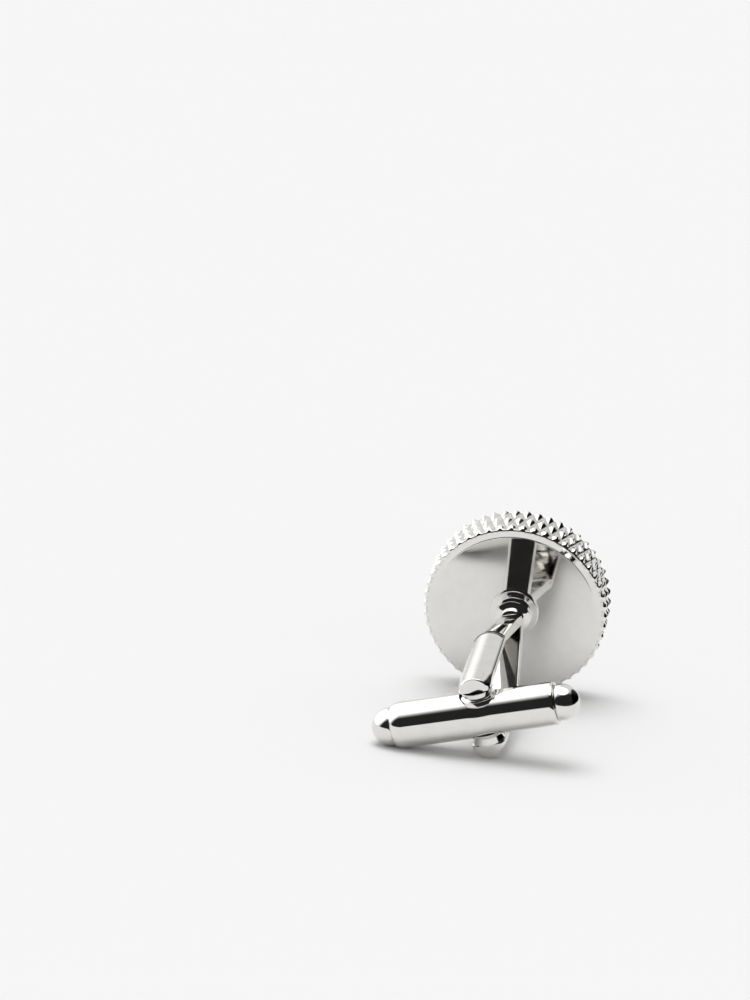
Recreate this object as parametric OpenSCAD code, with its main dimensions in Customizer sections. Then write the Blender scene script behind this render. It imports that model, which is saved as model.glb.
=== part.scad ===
// Swivel-bar cufflink, lying on a table the way it comes to rest.
// Each piece is drawn on the cufflink's own axes: the post runs along +Z from the back of
// the head, the toggle bar along X and the hinge pin along Y. lay_down() then tips the whole
// thing onto its three contact points: the knurled edge, the lower arm and the long cap.

/* [Head] */
// Diameter over the points of the knurled edge
head_d = 17; // [14:0.5:20]
// Thickness of the head
head_t = 3.9; // [3.2:0.1:5]
// Diamonds round the edge
knurl_n = 50; // [36:2:60]
// Depth of the knurl
knurl_depth = 0.38; // [0.2:0.02:0.5]
// Spacing of the rows of diamonds along the edge's width
knurl_row = 1.6; // [1.2:0.05:1.8]
// Bevel round the back, measured across the face
bevel_w = 0.5; // [0.3:0.05:0.8]
// Bevel round the back, measured along the post
bevel_h = 0.1; // [0.05:0.05:0.3]
// Radius of the knurl's rounded back edge
edge_round = 0.5; // [0.3:0.05:0.6]

/* [Post foot] */
// Diameter of the flange on the head
flange_d = 4.5; // [4:0.1:6]
// Thickness of the flange
flange_t = 0.5; // [0.3:0.05:0.7]
// Diameter of the domed collar
collar_d = 3.3; // [2.8:0.1:3.8]
// Height of the foot over the head
foot_h = 1.5; // [1.2:0.1:1.9]
// Rounding of the collar's top edge
collar_round = 0.5; // [0.2:0.05:0.7]
// Diameter of the tang brazed into the foot
tang_d = 1.6; // [1.2:0.1:1.8]

/* [Fork] */
// Back of the head to the hinge pin
post_len = 20.4; // [19:0.2:23]
// Gap between the flats of the two arms
fork_gap = 5.2; // [4.8:0.1:6]
// Width of an arm
arm_w = 2.9; // [2.6:0.1:3.3]
// Thickness of an arm over its crown, at the tip
arm_t = 1.3; // [1.2:0.05:1.5]
// Thickness of an arm at its side, at the tip
arm_side = 0.55; // [0.5:0.05:0.7]
// Thickness of an arm over its crown, at the shoulder
shoulder_t = 1.1; // [1:0.05:1.2]
// Length of an arm past the pin
tip_past = 1.2; // [1:0.05:1.6]
// Rounding of an arm's outer edge at the tip
tip_round = 0.6; // [0.4:0.05:0.8]
// Radius of an arm's tip seen along the pin
tip_r = 2.4; // [2:0.1:3]
// Start of the raised arm, from the back of the head
pad_z = 11.3; // [10.5:0.1:12]
// Rounding of the raised arm's shoulder
pad_round = 0.25; // [0.1:0.05:0.3]
// Where the legs reach the full gap, from the back of the head
knee_z = 12.2; // [12.1:0.1:13]
// Bottom of the crotch, from the back of the head
crotch_z = 3.2; // [2.8:0.1:4]
// Thickness of a leg over its crown
leg_t = 1.2; // [0.9:0.05:1.2]
// Thickness of a leg at its side
leg_side = 0.5; // [0.35:0.05:0.6]
// Width of a leg at the shoulder
knee_w = 2.7; // [2.2:0.1:2.9]
// Width of the fork at its root
root_w = 2.2; // [1.8:0.1:2.6]
// Diameter of the neck
neck_d = 2.3; // [2:0.1:2.8]

/* [Toggle bar] */
// Pin to the end of the long half, without its cap
long_len = 8; // [7:0.1:9]
// Pin to the end of the short half, without its cap
short_len = 6.7; // [6:0.1:7.4]
// Diameter of the long half
long_d = 4.1; // [3.9:0.05:4.3]
// Diameter of the short half
short_d = 3.86; // [3.7:0.02:4]
// Length of an end cap
cap_len = 2; // [1.8:0.1:2.4]
// Diameter of the long half's cap
long_cap_d = 3.4; // [3.2:0.05:3.7]
// Diameter of the short half's cap
short_cap_d = 3.26; // [3:0.02:3.5]
// Depth of the flats beside the hub
flat_depth = 0.14; // [0.05:0.01:0.2]
// Where the flats run out, from the pin
flat_end = 5.3; // [4.5:0.1:5.8]

/* [Hinge and detent] */
// Diameter of the hinge pin
pin_d = 1.24; // [1:0.02:1.4]
// Diameter of the pin's riveted heads
rivet_d = 1.8; // [1.6:0.05:2]
// Depth of a riveted head in its arm
rivet_depth = 0.5; // [0.4:0.05:0.6]
// Diameter of a hub
hub_d = 2.9; // [2.6:0.1:3.1]
// Diameter of the step at a hub's base
hub_step_d = 3.3; // [3.2:0.05:3.5]
// Seat of a hub on the barrel, from the bar's axis
hub_seat_y = 1.45; // [1.4:0.05:1.6]
// Height of the step at a hub's base
hub_step_h = 0.35; // [0.25:0.05:0.45]
// Bore for the plunger and spring
bore_d = 2.5; // [2.2:0.1:2.7]
// Length of the plunger
plunger_len = 2.2; // [1.8:0.1:2.6]
// Length of a cap's spigot
spigot_len = 1; // [0.8:0.1:1.2]
// Wire of the spring
wire_d = 0.3; // [0.2:0.02:0.3]
// Turns of the spring
spring_turns = 5; // [3:1:5]

/* [Hidden] */

fine = 96;
overrun = 0.5;
// Radial clearance of a running fit, of a fixed fit, and between a hub and its arm
run_fit = 0.03;
fixed_fit = 0.01;
hub_gap = 0.05;
// How far a riveted head stands over the crown, and the radius of its dome
rivet_h = 0.05;
rivet_dome_r = 2.5;
// Height of the collar's rounded shoulder
collar_rise = 0.8;
// Taper of the barrel's ends: across and along the bar
long_edge_r = 0.3;
long_edge_x = 1;
short_edge_r = 0.2;
short_edge_x = 0.4;
// Reach of the barrel's change of diameter either side of the pin
blend_x = 1;
// Lap of the legs into the neck
root_lap = 0.9;
// Chamfer of the plunger
plunger_chamfer = 0.2;
wire_sides = 6;
rings_per_turn = 12;
arc_steps = 5;
edge_steps = 3;

head_r = head_d / 2;
tip_z = post_len + tip_past;
arm_in = fork_gap / 2;
arm_out = arm_in + arm_t;
crown_h = arm_t - arm_side;
crown_r = (arm_w * arm_w / 4 + crown_h * crown_h) / (2 * crown_h);
shoulder_out = arm_in + shoulder_t;
crown_len = tip_z - tip_round - pad_z - pad_round;
crown_tilt = atan((arm_t - shoulder_t) / crown_len);
leg_crown_h = leg_t - leg_side;
leg_crown_r = (arm_w * arm_w / 4 + leg_crown_h * leg_crown_h) / (2 * leg_crown_h);
leg_angle = atan(arm_in / (knee_z - crotch_z));
leg_len = (knee_z - crotch_z) / cos(leg_angle);
pin_r = pin_d / 2;
long_cap_x = long_len + cap_len - long_cap_d / 2;
short_cap_x = short_len + cap_len - short_cap_d / 2;
knurl_rings = floor(head_t / knurl_row) + 2;
plunger_x = pin_r + run_fit;
spring_x = plunger_x + plunger_len;
spring_len = long_len - spigot_len - spring_x;

// Tilt of the post and roll about it, so that the knurled edge, the lower arm's tip and
// the long cap all touch the table. Solved by repeated substitution.
seat_z = head_t - floor(head_t / knurl_row) * knurl_row;
function arm_reach(roll) = (arm_out - crown_r) * cos(roll) + crown_r;
function tip_loss(roll) = let (y = tip_round - crown_r * (1 - cos(roll)))
    tip_round - sqrt(tip_round * tip_round - y * y);
function tilt_for(roll) = atan((head_r - arm_reach(roll)) / (tip_z + seat_z - tip_loss(roll)));
function roll_for(tilt) = asin((head_r - (seat_z + post_len) * tan(tilt)
                                - long_cap_d / 2 / cos(tilt)) / long_cap_x);
function settle(steps, tilt, roll) = steps == 0 ? [tilt, roll]
    : let (t = tilt_for(roll)) settle(steps - 1, t, roll_for(t));
rest = settle(12, 0, 0);
tilt = rest[0];
roll = rest[1];

// The table's directions seen from the cufflink's own axes
table_x = [-cos(roll), sin(roll), 0];
table_y = [sin(roll) * sin(tilt), cos(roll) * sin(tilt), cos(tilt)];
table_z = [sin(roll) * cos(tilt), cos(roll) * cos(tilt), -sin(tilt)];

// How far the head, the bar and an arm reach in a direction u
function reach_head(u) = head_r * norm([u[0], u[1]])
    + max(-seat_z * u[2], -head_t * u[2]);
function reach_cap(u, x, r) = x * u[0] + post_len * u[2] + r;
function reach_barrel(u, x, r) = x * u[0] + post_len * u[2] + r * norm([u[1], u[2]]);
function reach_arm(u, side) = side * (arm_out - tip_round) * u[1] + (tip_z - tip_round) * u[2]
    + tip_round * norm([u[1], u[2]]);
function reach(u) = max(reach_head(u), reach_cap(u, -long_cap_x, long_cap_d / 2),
                        reach_cap(u, short_cap_x, short_cap_d / 2),
                        reach_barrel(u, -(long_len - long_edge_x), long_d / 2),
                        reach_barrel(u, short_len - short_edge_x, short_d / 2),
                        reach_arm(u, 1), reach_arm(u, -1));

module lay_down() {
    translate([(reach(-table_x) - reach(table_x)) / 2,
               (reach(-table_y) - reach(table_y)) / 2,
               reach(-table_z)])
        rotate([-tilt, 0, 0]) rotate([90, 0, 180]) rotate([0, 0, roll]) children();
}

// Points on a quarter of an ellipse, from angle a0 to a1
function quarter(cx, cy, rx, ry, a0, a1, steps = arc_steps) =
    [for (i = [0:steps]) let (a = a0 + (a1 - a0) * i / steps)
        [cx + rx * cos(a), cy + ry * sin(a)]];

// Head

// A ring of points where rows of diamond tips and groove crossings alternate
module knurled_blank() {
    n = 2 * knurl_n;
    pts = [for (k = [0:knurl_rings - 1]) for (j = [0:n - 1])
        let (r = (j + k) % 2 == 0 ? head_r : head_r - knurl_depth, a = 360 * j / n)
        [r * cos(a), r * sin(a), -head_t + k * knurl_row]];
    sides = [for (k = [0:knurl_rings - 2]) for (j = [0:n - 1])
        let (a = k * n + j, b = k * n + (j + 1) % n, c = a + n, d = b + n, tip = (j + k) % 2 == 0)
        each (tip ? [[a, c, b], [b, c, d]] : [[a, c, d], [a, d, b]])];
    front = [for (j = [0:n - 1]) j];
    back = [for (j = [0:n - 1]) knurl_rings * n - 1 - j];
    polyhedron(points = pts, faces = concat(sides, [front, back]));
}

module knurled_disc() {
    lay_down() color("silver") intersection() {
        knurled_blank();
        rotate_extrude($fn = fine)
            polygon(concat([[0, -head_t - overrun], [head_r + overrun, -head_t - overrun],
                            [head_r + overrun, -bevel_h - edge_round]],
                           quarter(head_r - edge_round, -bevel_h - edge_round,
                                   edge_round, edge_round, 0, 90, edge_steps),
                           [[head_r - edge_round - bevel_w, 0], [0, 0]]));
    }
}

// Post

module post_foot() {
    lay_down() color("gainsboro") difference() {
        rotate_extrude($fn = fine)
            polygon(concat([[0, 0]],
                           quarter(collar_d / 2, 0, (flange_d - collar_d) / 2, flange_t, 0, 90),
                           quarter(collar_d / 2 - collar_round, foot_h - collar_rise,
                                   collar_round, collar_rise, 0, 90),
                           [[0, foot_h]]));
        translate([0, 0, -overrun])
            cylinder(d = tang_d + 2 * fixed_fit, h = foot_h + 2 * overrun, $fn = fine);
    }
}

// Half-round section, flat on y = 0
module half_round(w, t, r) {
    intersection() {
        translate([-w / 2, 0]) square([w, t]);
        translate([0, t - r]) circle(r = r, $fn = fine);
    }
}

// Outline of the legs seen along the pin, narrow at the root
module leg_outline() {
    rotate([90, 0, 0]) translate([0, 0, -arm_out - overrun])
        linear_extrude(height = 2 * (arm_out + overrun))
            polygon([[-root_w / 2, 0], [root_w / 2, 0], [root_w / 2, crotch_z],
                     [knee_w / 2, pad_z], [knee_w / 2, tip_z], [-knee_w / 2, tip_z],
                     [-knee_w / 2, pad_z], [-root_w / 2, crotch_z]]);
}

// Rounds the arms' tips seen along the pin
module tip_outline() {
    translate([0, -arm_out - overrun, tip_z - tip_r]) rotate([-90, 0, 0])
        cylinder(r = tip_r, h = 2 * (arm_out + overrun), $fn = fine);
    translate([-arm_w / 2 - overrun, -arm_out - overrun, 0])
        cube([arm_w + 2 * overrun, 2 * (arm_out + overrun), tip_z - tip_r]);
}

// Outline of an arm seen along the bar, with its shoulder and tip rounded
module arm_outline() {
    rotate([90, 0, 90]) translate([0, 0, -arm_w / 2 - overrun])
        linear_extrude(height = arm_w + 2 * overrun) {
            difference() {
                translate([arm_in, pad_z]) square([arm_t + overrun, tip_z - pad_z]);
                translate([arm_out - tip_round, tip_z - tip_round])
                    square([tip_round + 2 * overrun, tip_round + overrun]);
                translate([shoulder_out - pad_round, pad_z - overrun])
                    square([arm_t + overrun, pad_round + overrun]);
            }
            translate([arm_out - tip_round, tip_z - tip_round]) circle(r = tip_round, $fn = fine);
            translate([shoulder_out - pad_round, pad_z + pad_round])
                circle(r = pad_round, $fn = fine);
        }
}

module arm() {
    intersection() {
        translate([0, arm_out, tip_z - tip_round]) rotate([-crown_tilt, 0, 0])
            translate([0, -arm_t, -crown_len - pad_round - overrun])
                linear_extrude(height = crown_len + pad_round + tip_round + 2 * overrun)
                    half_round(arm_w, arm_t, crown_r);
        arm_outline();
        tip_outline();
    }
    intersection() {
        translate([0, 0, crotch_z]) rotate([-leg_angle, 0, 0]) translate([0, 0, -root_lap])
            linear_extrude(height = leg_len + root_lap) half_round(arm_w, leg_t, leg_crown_r);
        leg_outline();
    }
}

module pin_hole(fit) {
    translate([0, -arm_out - overrun, post_len]) rotate([-90, 0, 0])
        cylinder(d = pin_d + 2 * fit, h = 2 * (arm_out + overrun), $fn = fine);
}

module fork() {
    lay_down() color("lightsteelblue") difference() {
        union() {
            arm();
            mirror([0, 1, 0]) arm();
            translate([0, 0, foot_h]) cylinder(d = neck_d, h = crotch_z - foot_h, $fn = fine);
            translate([0, 0, 0]) cylinder(d = tang_d, h = foot_h + root_lap, $fn = fine);
        }
        pin_hole(fixed_fit);
        for (side = [0, 1]) mirror([0, side, 0]) rivet_seat(fixed_fit);
    }
}

// Sunk seat in an arm for a riveted head
module rivet_seat(fit) {
    translate([0, arm_out - rivet_depth - fit, post_len]) rotate([-90, 0, 0])
        cylinder(d = rivet_d + 2 * fit, h = rivet_depth + fit + overrun, $fn = fine);
}

module hinge_pin() {
    lay_down() color("goldenrod") {
        translate([0, -arm_out + rivet_depth, post_len]) rotate([-90, 0, 0])
            cylinder(d = pin_d, h = 2 * (arm_out - rivet_depth), $fn = fine);
        for (side = [0, 1]) mirror([0, side, 0]) intersection() {
            rivet_seat(0);
            translate([0, arm_out + rivet_h - rivet_dome_r, post_len])
                sphere(r = rivet_dome_r, $fn = fine);
        }
    }
}

// Toggle bar

module barrel_body() {
    long_r = long_d / 2;
    short_r = short_d / 2;
    difference() {
        translate([0, 0, post_len]) rotate([0, 90, 0]) rotate_extrude($fn = fine)
            polygon(concat([[0, -long_len]],
                quarter(long_r - long_edge_r, -long_len + long_edge_x,
                        long_edge_r, long_edge_x, -90, 0),
                [[long_r, -blend_x], [short_r, blend_x]],
                quarter(short_r - short_edge_r, short_len - short_edge_x,
                        short_edge_r, short_edge_x, 0, 90),
                [[0, short_len]]));
        for (side = [0, 1]) mirror([0, side, 0])
            translate([0, 0, post_len - short_r - overrun])
                linear_extrude(height = 2 * (short_r + overrun))
                    polygon([[0, short_r - flat_depth], [flat_end, short_r],
                             [flat_end, long_r + overrun], [0, long_r + overrun]]);
    }
}

module along_bar(x) {
    translate([x, 0, post_len]) rotate([0, 90, 0]) children();
}

module toggle_barrel() {
    lay_down() color("lightgray") difference() {
        barrel_body();
        pin_hole(run_fit);
        for (side = [0, 1]) mirror([0, side, 0])
            translate([0, hub_seat_y, post_len]) rotate([-90, 0, 0])
                cylinder(d = hub_step_d + 2 * fixed_fit, h = hub_step_d, $fn = fine);
        along_bar(-long_len - overrun)
            cylinder(d = bore_d, h = long_len + overrun - pin_r / 2, $fn = fine);
        along_bar(short_len - spigot_len)
            cylinder(d = bore_d, h = spigot_len + overrun, $fn = fine);
    }
}

module hub() {
    difference() {
        translate([0, hub_seat_y, post_len]) rotate([-90, 0, 0]) {
            cylinder(d = hub_d, h = arm_in - hub_gap - hub_seat_y, $fn = fine);
            cylinder(d = hub_step_d, h = hub_step_h, $fn = fine);
        }
        pin_hole(run_fit);
    }
}

module upper_hub() { lay_down() color("darkgray") hub(); }
module lower_hub() { lay_down() color("darkgray") mirror([0, 1, 0]) hub(); }

// A ball cut off where it meets the barrel, with a spigot that goes into the bore
module end_cap(ball_d, seam_x) {
    intersection() {
        along_bar(seam_x + cap_len - ball_d / 2) sphere(d = ball_d, $fn = fine);
        along_bar(seam_x) cylinder(d = ball_d + overrun, h = cap_len + overrun, $fn = fine);
    }
    along_bar(seam_x - spigot_len)
        cylinder(d = bore_d - 2 * fixed_fit, h = spigot_len + cap_len / 2, $fn = fine);
}

module long_end_cap() {
    lay_down() color("gainsboro") mirror([1, 0, 0]) end_cap(long_cap_d, long_len);
}
module short_end_cap() { lay_down() color("gainsboro") end_cap(short_cap_d, short_len); }

// Detent, inside the long half

module detent_plunger() {
    r = bore_d / 2 - run_fit;
    lay_down() color("tan") mirror([1, 0, 0]) along_bar(plunger_x) rotate_extrude($fn = fine)
        polygon([[0, 0], [r - plunger_chamfer, 0], [r, plunger_chamfer],
                 [r, plunger_len], [0, plunger_len]]);
}

module detent_spring() {
    mean_r = bore_d / 2 - 2 * run_fit - wire_d / 2;
    n = spring_turns * rings_per_turn;
    rise = spring_len - wire_d;
    pts = [for (i = [0:n]) for (j = [0:wire_sides - 1])
        let (a = 360 * spring_turns * i / n, b = 360 * j / wire_sides,
             r = mean_r + wire_d / 2 * cos(b))
        [r * cos(a), r * sin(a), wire_d / 2 + rise * i / n + wire_d / 2 * sin(b)]];
    sides = [for (i = [0:n - 1]) for (j = [0:wire_sides - 1])
        let (a = i * wire_sides + j, b = i * wire_sides + (j + 1) % wire_sides,
             c = a + wire_sides, d = b + wire_sides)
        each [[a, b, c], [b, d, c]]];
    first = [for (j = [wire_sides - 1:-1:0]) j];
    last = [for (j = [0:wire_sides - 1]) n * wire_sides + j];
    lay_down() color("steelblue") mirror([1, 0, 0]) along_bar(spring_x)
        polyhedron(points = pts, faces = concat(sides, [first, last]));
}

knurled_disc();
post_foot();
fork();
hinge_pin();
toggle_barrel();
upper_hub();
lower_hub();
long_end_cap();
short_end_cap();
detent_plunger();
detent_spring();
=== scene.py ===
"""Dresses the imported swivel-bar cufflink: its finishes, its fine edges, and the studio it is seen in.

Everything is in metres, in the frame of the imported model. The part lies on a floor at z = 0.
"""

import logging
import math
from dataclasses import dataclass
from enum import Enum

import bpy
from mathutils import Matrix, Vector


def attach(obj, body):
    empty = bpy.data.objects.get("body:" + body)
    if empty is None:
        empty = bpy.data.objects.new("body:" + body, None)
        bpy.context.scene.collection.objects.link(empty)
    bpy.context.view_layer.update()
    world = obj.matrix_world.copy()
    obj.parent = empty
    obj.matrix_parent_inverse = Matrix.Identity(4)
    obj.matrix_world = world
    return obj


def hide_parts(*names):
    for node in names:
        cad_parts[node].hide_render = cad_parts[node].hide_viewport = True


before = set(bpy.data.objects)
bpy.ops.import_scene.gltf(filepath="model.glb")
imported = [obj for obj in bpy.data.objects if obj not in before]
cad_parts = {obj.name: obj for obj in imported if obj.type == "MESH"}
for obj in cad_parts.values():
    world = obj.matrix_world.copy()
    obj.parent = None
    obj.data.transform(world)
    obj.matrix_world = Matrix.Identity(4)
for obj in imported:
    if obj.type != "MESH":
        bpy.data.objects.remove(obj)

log = logging.getLogger("cufflink")

Colour = tuple[float, float, float]
Point = tuple[float, float, float]
Pair = tuple[float, float]
Outline = list[Pair]
Piece = bpy.types.Object
Finish = bpy.types.Material
Socket = bpy.types.NodeSocket

# From the back of the head to the pin's axis.
POST = 0.0204
# How far a cutting solid stands out past the metal that it cuts.
OVER = 0.0005
# How near to the head's front a point has to be to lie in it.
CLOSE = 1e-6


class Body(Enum):
    """The two moving bodies of the part."""

    HEAD = "head_and_fork"
    BAR = "swivel_bar"


class Slot(Enum):
    """Names of the record's material slots, handed along with the new pieces though nothing reads them."""

    HEAD = "head_metal"
    POLISHED = "polished_metal"


class Cut(Enum):
    """What one solid does to another."""

    JOIN = "UNION"
    TAKE = "DIFFERENCE"
    SHARE = "INTERSECT"


@dataclass(frozen=True)
class Lay:
    """How the part lies: the post's own axes, bar along x and post along z, set down on the floor.

    Attributes:
        across: The direction of the part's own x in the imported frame.
        upward: The direction of its y.
        outward: The direction of its z.
        origin: The middle of the back of the head.
    """

    across: Point = (-0.9619491282, 0.0569180160, 0.2672343806)
    upward: Point = (0.2732286125, 0.2003898324, 0.9408453860)
    outward: Point = (0.0, 0.9780614779, -0.2083164551)
    origin: Point = (-0.0005920889, -0.0083263896, 0.0081677010)

    def turn(self) -> Matrix:
        """Returns the turn from the part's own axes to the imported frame."""
        return Matrix((self.across, self.upward, self.outward)).transposed()

    def matrix(self) -> Matrix:
        """Returns the whole move from the part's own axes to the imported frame."""
        return Matrix.Translation(self.origin) @ self.turn().to_4x4()


@dataclass(frozen=True)
class ShaderNet:
    """A small helper round the nodes of a material or of the world.

    Attributes:
        tree: The nodes that are being joined.
    """

    tree: bpy.types.NodeTree

    def add(self, kind: str, **settings: object) -> bpy.types.Node:
        """Adds a node and sets its plain properties.

        Args:
            kind: The node's type name.
            **settings: Properties to set on it.

        Returns:
            The new node.
        """
        node = self.tree.nodes.new(kind)
        for key, value in settings.items():
            setattr(node, key, value)
        return node

    def link(self, source: Socket, target: Socket) -> None:
        """Joins two sockets."""
        self.tree.links.new(source, target)

    def find(self, kind: str) -> bpy.types.Node:
        """Returns the first node of a kind."""
        return next(n for n in self.tree.nodes if n.type == kind)

    def maths(self, operation: str, first: Socket, second: Socket) -> Socket:
        """Adds a sum or a product.

        Args:
            operation: ADD or MULTIPLY.
            first: The first value.
            second: The second value.

        Returns:
            The result.
        """
        node = self.add("ShaderNodeMath", operation=operation)
        self.link(first, node.inputs[0])
        self.link(second, node.inputs[1])
        return node.outputs["Value"]

    def span(self, source: Socket, reach: Pair, result: Pair, kind: str = "LINEAR") -> Socket:
        """Adds a map of a value from one range to another.

        Args:
            source: The value.
            reach: Where the change starts and ends.
            result: What the value becomes there.
            kind: LINEAR, or SMOOTHSTEP for a change that eases in and out.

        Returns:
            The new value.
        """
        node = self.add("ShaderNodeMapRange", interpolation_type=kind)
        for name, value in zip(("From Min", "From Max", "To Min", "To Max"), (*reach, *result)):
            node.inputs[name].default_value = value
        self.link(source, node.inputs["Value"])
        return node.outputs["Result"]

    def toward(self, place: Socket, way: Point | Vector, reach: Pair, result: Pair) -> Socket:
        """Adds a value that changes softly along a way.

        Args:
            place: The place or direction that is looked at.
            way: The way that it is measured along.
            reach: Where the change starts and ends.
            result: The value up to the start and past the end.

        Returns:
            The value.
        """
        along = self.add("ShaderNodeVectorMath", operation="DOT_PRODUCT")
        along.inputs[1].default_value = way
        self.link(place, along.inputs[0])
        return self.span(along.outputs["Value"], reach, result, "SMOOTHSTEP")

    def mix(self, share: Socket, first: Socket, second: Socket, out: bpy.types.Node) -> None:
        """Mixes two shaders into an output.

        Args:
            share: How much of the second shader shows.
            first: The first shader.
            second: The second shader.
            out: The output node.
        """
        node = self.add("ShaderNodeMixShader")
        for place, source in (("Fac", share), (1, first), (2, second)):
            self.link(source, node.inputs[place])
        self.link(node.outputs["Shader"], out.inputs["Surface"])

    def grain(
        self,
        size: float,
        detail: float,
        rough: float = 0.5,
        stretch: Point = (1.0, 1.0, 1.0),
        turn: Point = (0.0, 0.0, 0.0),
    ) -> Socket:
        """Adds noise in the piece's own space.

        Args:
            size: The noise scale.
            detail: How many layers of finer noise lie on it.
            rough: How strong the finer layers are.
            stretch: How much the space is stretched along each axis before the noise.
            turn: The turn of that space, in radians.

        Returns:
            The noise.
        """
        place = self.add("ShaderNodeTexCoord")
        spread = self.add("ShaderNodeMapping", vector_type="TEXTURE")
        spread.inputs["Rotation"].default_value = turn
        spread.inputs["Scale"].default_value = tuple(1 / s for s in stretch)
        noise = self.add("ShaderNodeTexNoise")
        noise.inputs["Scale"].default_value = size
        noise.inputs["Detail"].default_value = detail
        noise.inputs["Roughness"].default_value = rough
        self.link(place.outputs["Object"], spread.inputs["Vector"])
        self.link(spread.outputs["Vector"], noise.inputs["Vector"])
        return noise.outputs["Fac"]

    def tint(self, source: Socket, reach: Pair, colours: tuple[Colour, Colour]) -> None:
        """Colours the metal by a value.

        Args:
            source: The value.
            reach: Where the first colour ends and where the second begins.
            colours: The two colours.
        """
        node = self.add("ShaderNodeValToRGB")
        for element, place, colour in zip(node.color_ramp.elements, reach, colours):
            element.position = place
            element.color = (*colour, 1.0)
        self.link(source, node.inputs["Fac"])
        self.link(node.outputs["Color"], self.find("BSDF_PRINCIPLED").inputs["Base Color"])

    def roughen(self, source: Socket, reach: Pair, haze: Pair) -> None:
        """Sets the metal's roughness by a value, where haze is the roughness at each end of its reach."""
        rough = self.span(source, reach, haze)
        self.link(rough, self.find("BSDF_PRINCIPLED").inputs["Roughness"])

    def emboss(self, source: Socket, strength: float, height: float) -> None:
        """Raises the metal by a value.

        Args:
            source: The value.
            strength: How much of the relief shows.
            height: Height of the relief, in metres.
        """
        bump = self.add("ShaderNodeBump")
        bump.inputs["Strength"].default_value = strength
        bump.inputs["Distance"].default_value = height
        self.link(source, bump.inputs["Height"])
        self.link(bump.outputs["Normal"], self.find("BSDF_PRINCIPLED").inputs["Normal"])


def new_finish(name: str, metal: float = 1.0) -> tuple[Finish, ShaderNet]:
    """Makes a material with nodes.

    Args:
        name: The material's name.
        metal: 1 for a metal, 0 for anything else.

    Returns:
        The material and the helper round its nodes.
    """
    finish = bpy.data.materials.new(name)
    finish.use_nodes = True
    net = ShaderNet(finish.node_tree)
    net.find("BSDF_PRINCIPLED").inputs["Metallic"].default_value = metal
    return finish, net


@dataclass(frozen=True)
class PolishedPlate:
    """Bright plating over buffed brass, with the faint haze and ripple that buffing leaves.

    Attributes:
        name: The material's name.
        colour: The plating's reflectance where it is dull and where it is bright.
        haze: Roughness where the polish is best and where it is worst.
        cloud: Noise scale of the haze.
        wave: Noise scale of the buffing ripple.
        ripple: How much of the ripple shows, and its height in metres.
    """

    name: str = "polished_plate"
    colour: tuple[Colour, Colour] = ((0.76, 0.7505, 0.72675), (0.80, 0.79, 0.765))
    haze: Pair = (0.02, 0.07)
    cloud: float = 900.0
    wave: float = 420.0
    ripple: Pair = (0.25, 4e-6)

    def material(self) -> Finish:
        """Makes the material.

        Returns:
            The finished material.
        """
        finish, net = new_finish(self.name)
        cloud = net.grain(self.cloud, 3.0)
        net.tint(cloud, (0.3, 0.7), self.colour)
        net.roughen(cloud, (0.25, 0.8), self.haze)
        net.emboss(net.grain(self.wave, 2.0), *self.ripple)
        return finish


@dataclass(frozen=True)
class BrushedFront:
    """The head's front face, brushed with fine straight strokes along the bar.

    Attributes:
        name: The material's name.
        colour: The metal's reflectance in the strokes' valleys and on their ridges.
        haze: Roughness across the strokes, least and most.
        fine: Stretch of the fine strokes, in the part's own axes.
        broad: Stretch of the broad strokes.
        drawn: How far the highlight is drawn out across the strokes.
        stroke: How much of a stroke's relief shows, and its depth in metres.
    """

    name: str = "brushed_front"
    colour: tuple[Colour, Colour] = ((0.33, 0.325, 0.31), (0.50, 0.495, 0.47))
    haze: Pair = (0.24, 0.42)
    fine: Point = (160.0, 20000.0, 160.0)
    broad: Point = (90.0, 8000.0, 90.0)
    drawn: float = 0.6
    stroke: Pair = (0.35, 8e-6)

    def material(self) -> Finish:
        """Makes the material.

        Returns:
            The finished material.
        """
        finish, net = new_finish(self.name)
        net.find("BSDF_PRINCIPLED").inputs["Anisotropic"].default_value = self.drawn
        turn = tuple(Lay().turn().to_euler())
        fine = net.grain(1.0, 4.0, 0.65, self.fine, turn)
        broad = net.grain(1.0, 2.0, 0.5, self.broad, turn)
        both = net.span(net.maths("ADD", fine, broad), (0.7, 1.3), (0.0, 1.0))
        net.tint(both, (0.0, 1.0), self.colour)
        net.roughen(broad, (0.3, 0.7), self.haze)
        net.emboss(fine, *self.stroke)
        return finish


@dataclass(frozen=True)
class KnurlPlate:
    """The same plating over the knurl, a little duller down in the grooves, and darker there by painted
    shade.

    Attributes:
        name: The material's name.
        colour: Reflectance in the grooves, darkened there as painted shade, and on the diamonds.
        haze: Roughness in the grooves and on the diamonds.
        cloud: Noise scale of the wear.
        wear: How strong the wear noise is beside the painted shade that follows the depth of the grooves.
        ripple: How much of the wear's relief shows, and its height in metres.
    """

    name: str = "knurl_plate"
    colour: tuple[Colour, Colour] = ((0.60, 0.59, 0.56), (0.80, 0.79, 0.765))
    haze: Pair = (0.16, 0.05)
    cloud: float = 2600.0
    wear: float = 0.3
    ripple: Pair = (0.3, 3e-6)

    def material(self) -> Finish:
        """Makes the material.

        Returns:
            The finished material.
        """
        finish, net = new_finish(self.name)
        cloud = net.grain(self.cloud, 3.0)
        stand = net.add("ShaderNodeAttribute", attribute_name="stand")
        # Painted shade: the metal's colour darkens with the depth of the grooves, read from the stand
        # attribute, with the wear noise added on top.
        shade_and_wear = net.add("ShaderNodeMath", operation="MULTIPLY_ADD")
        shade_and_wear.inputs[1].default_value = self.wear
        net.link(cloud, shade_and_wear.inputs[0])
        net.link(stand.outputs["Fac"], shade_and_wear.inputs[2])
        net.tint(shade_and_wear.outputs["Value"], (0.12, 0.45), self.colour)
        net.roughen(shade_and_wear.outputs["Value"], (0.1, 0.6), self.haze)
        net.emboss(cloud, *self.ripple)
        return finish


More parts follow.
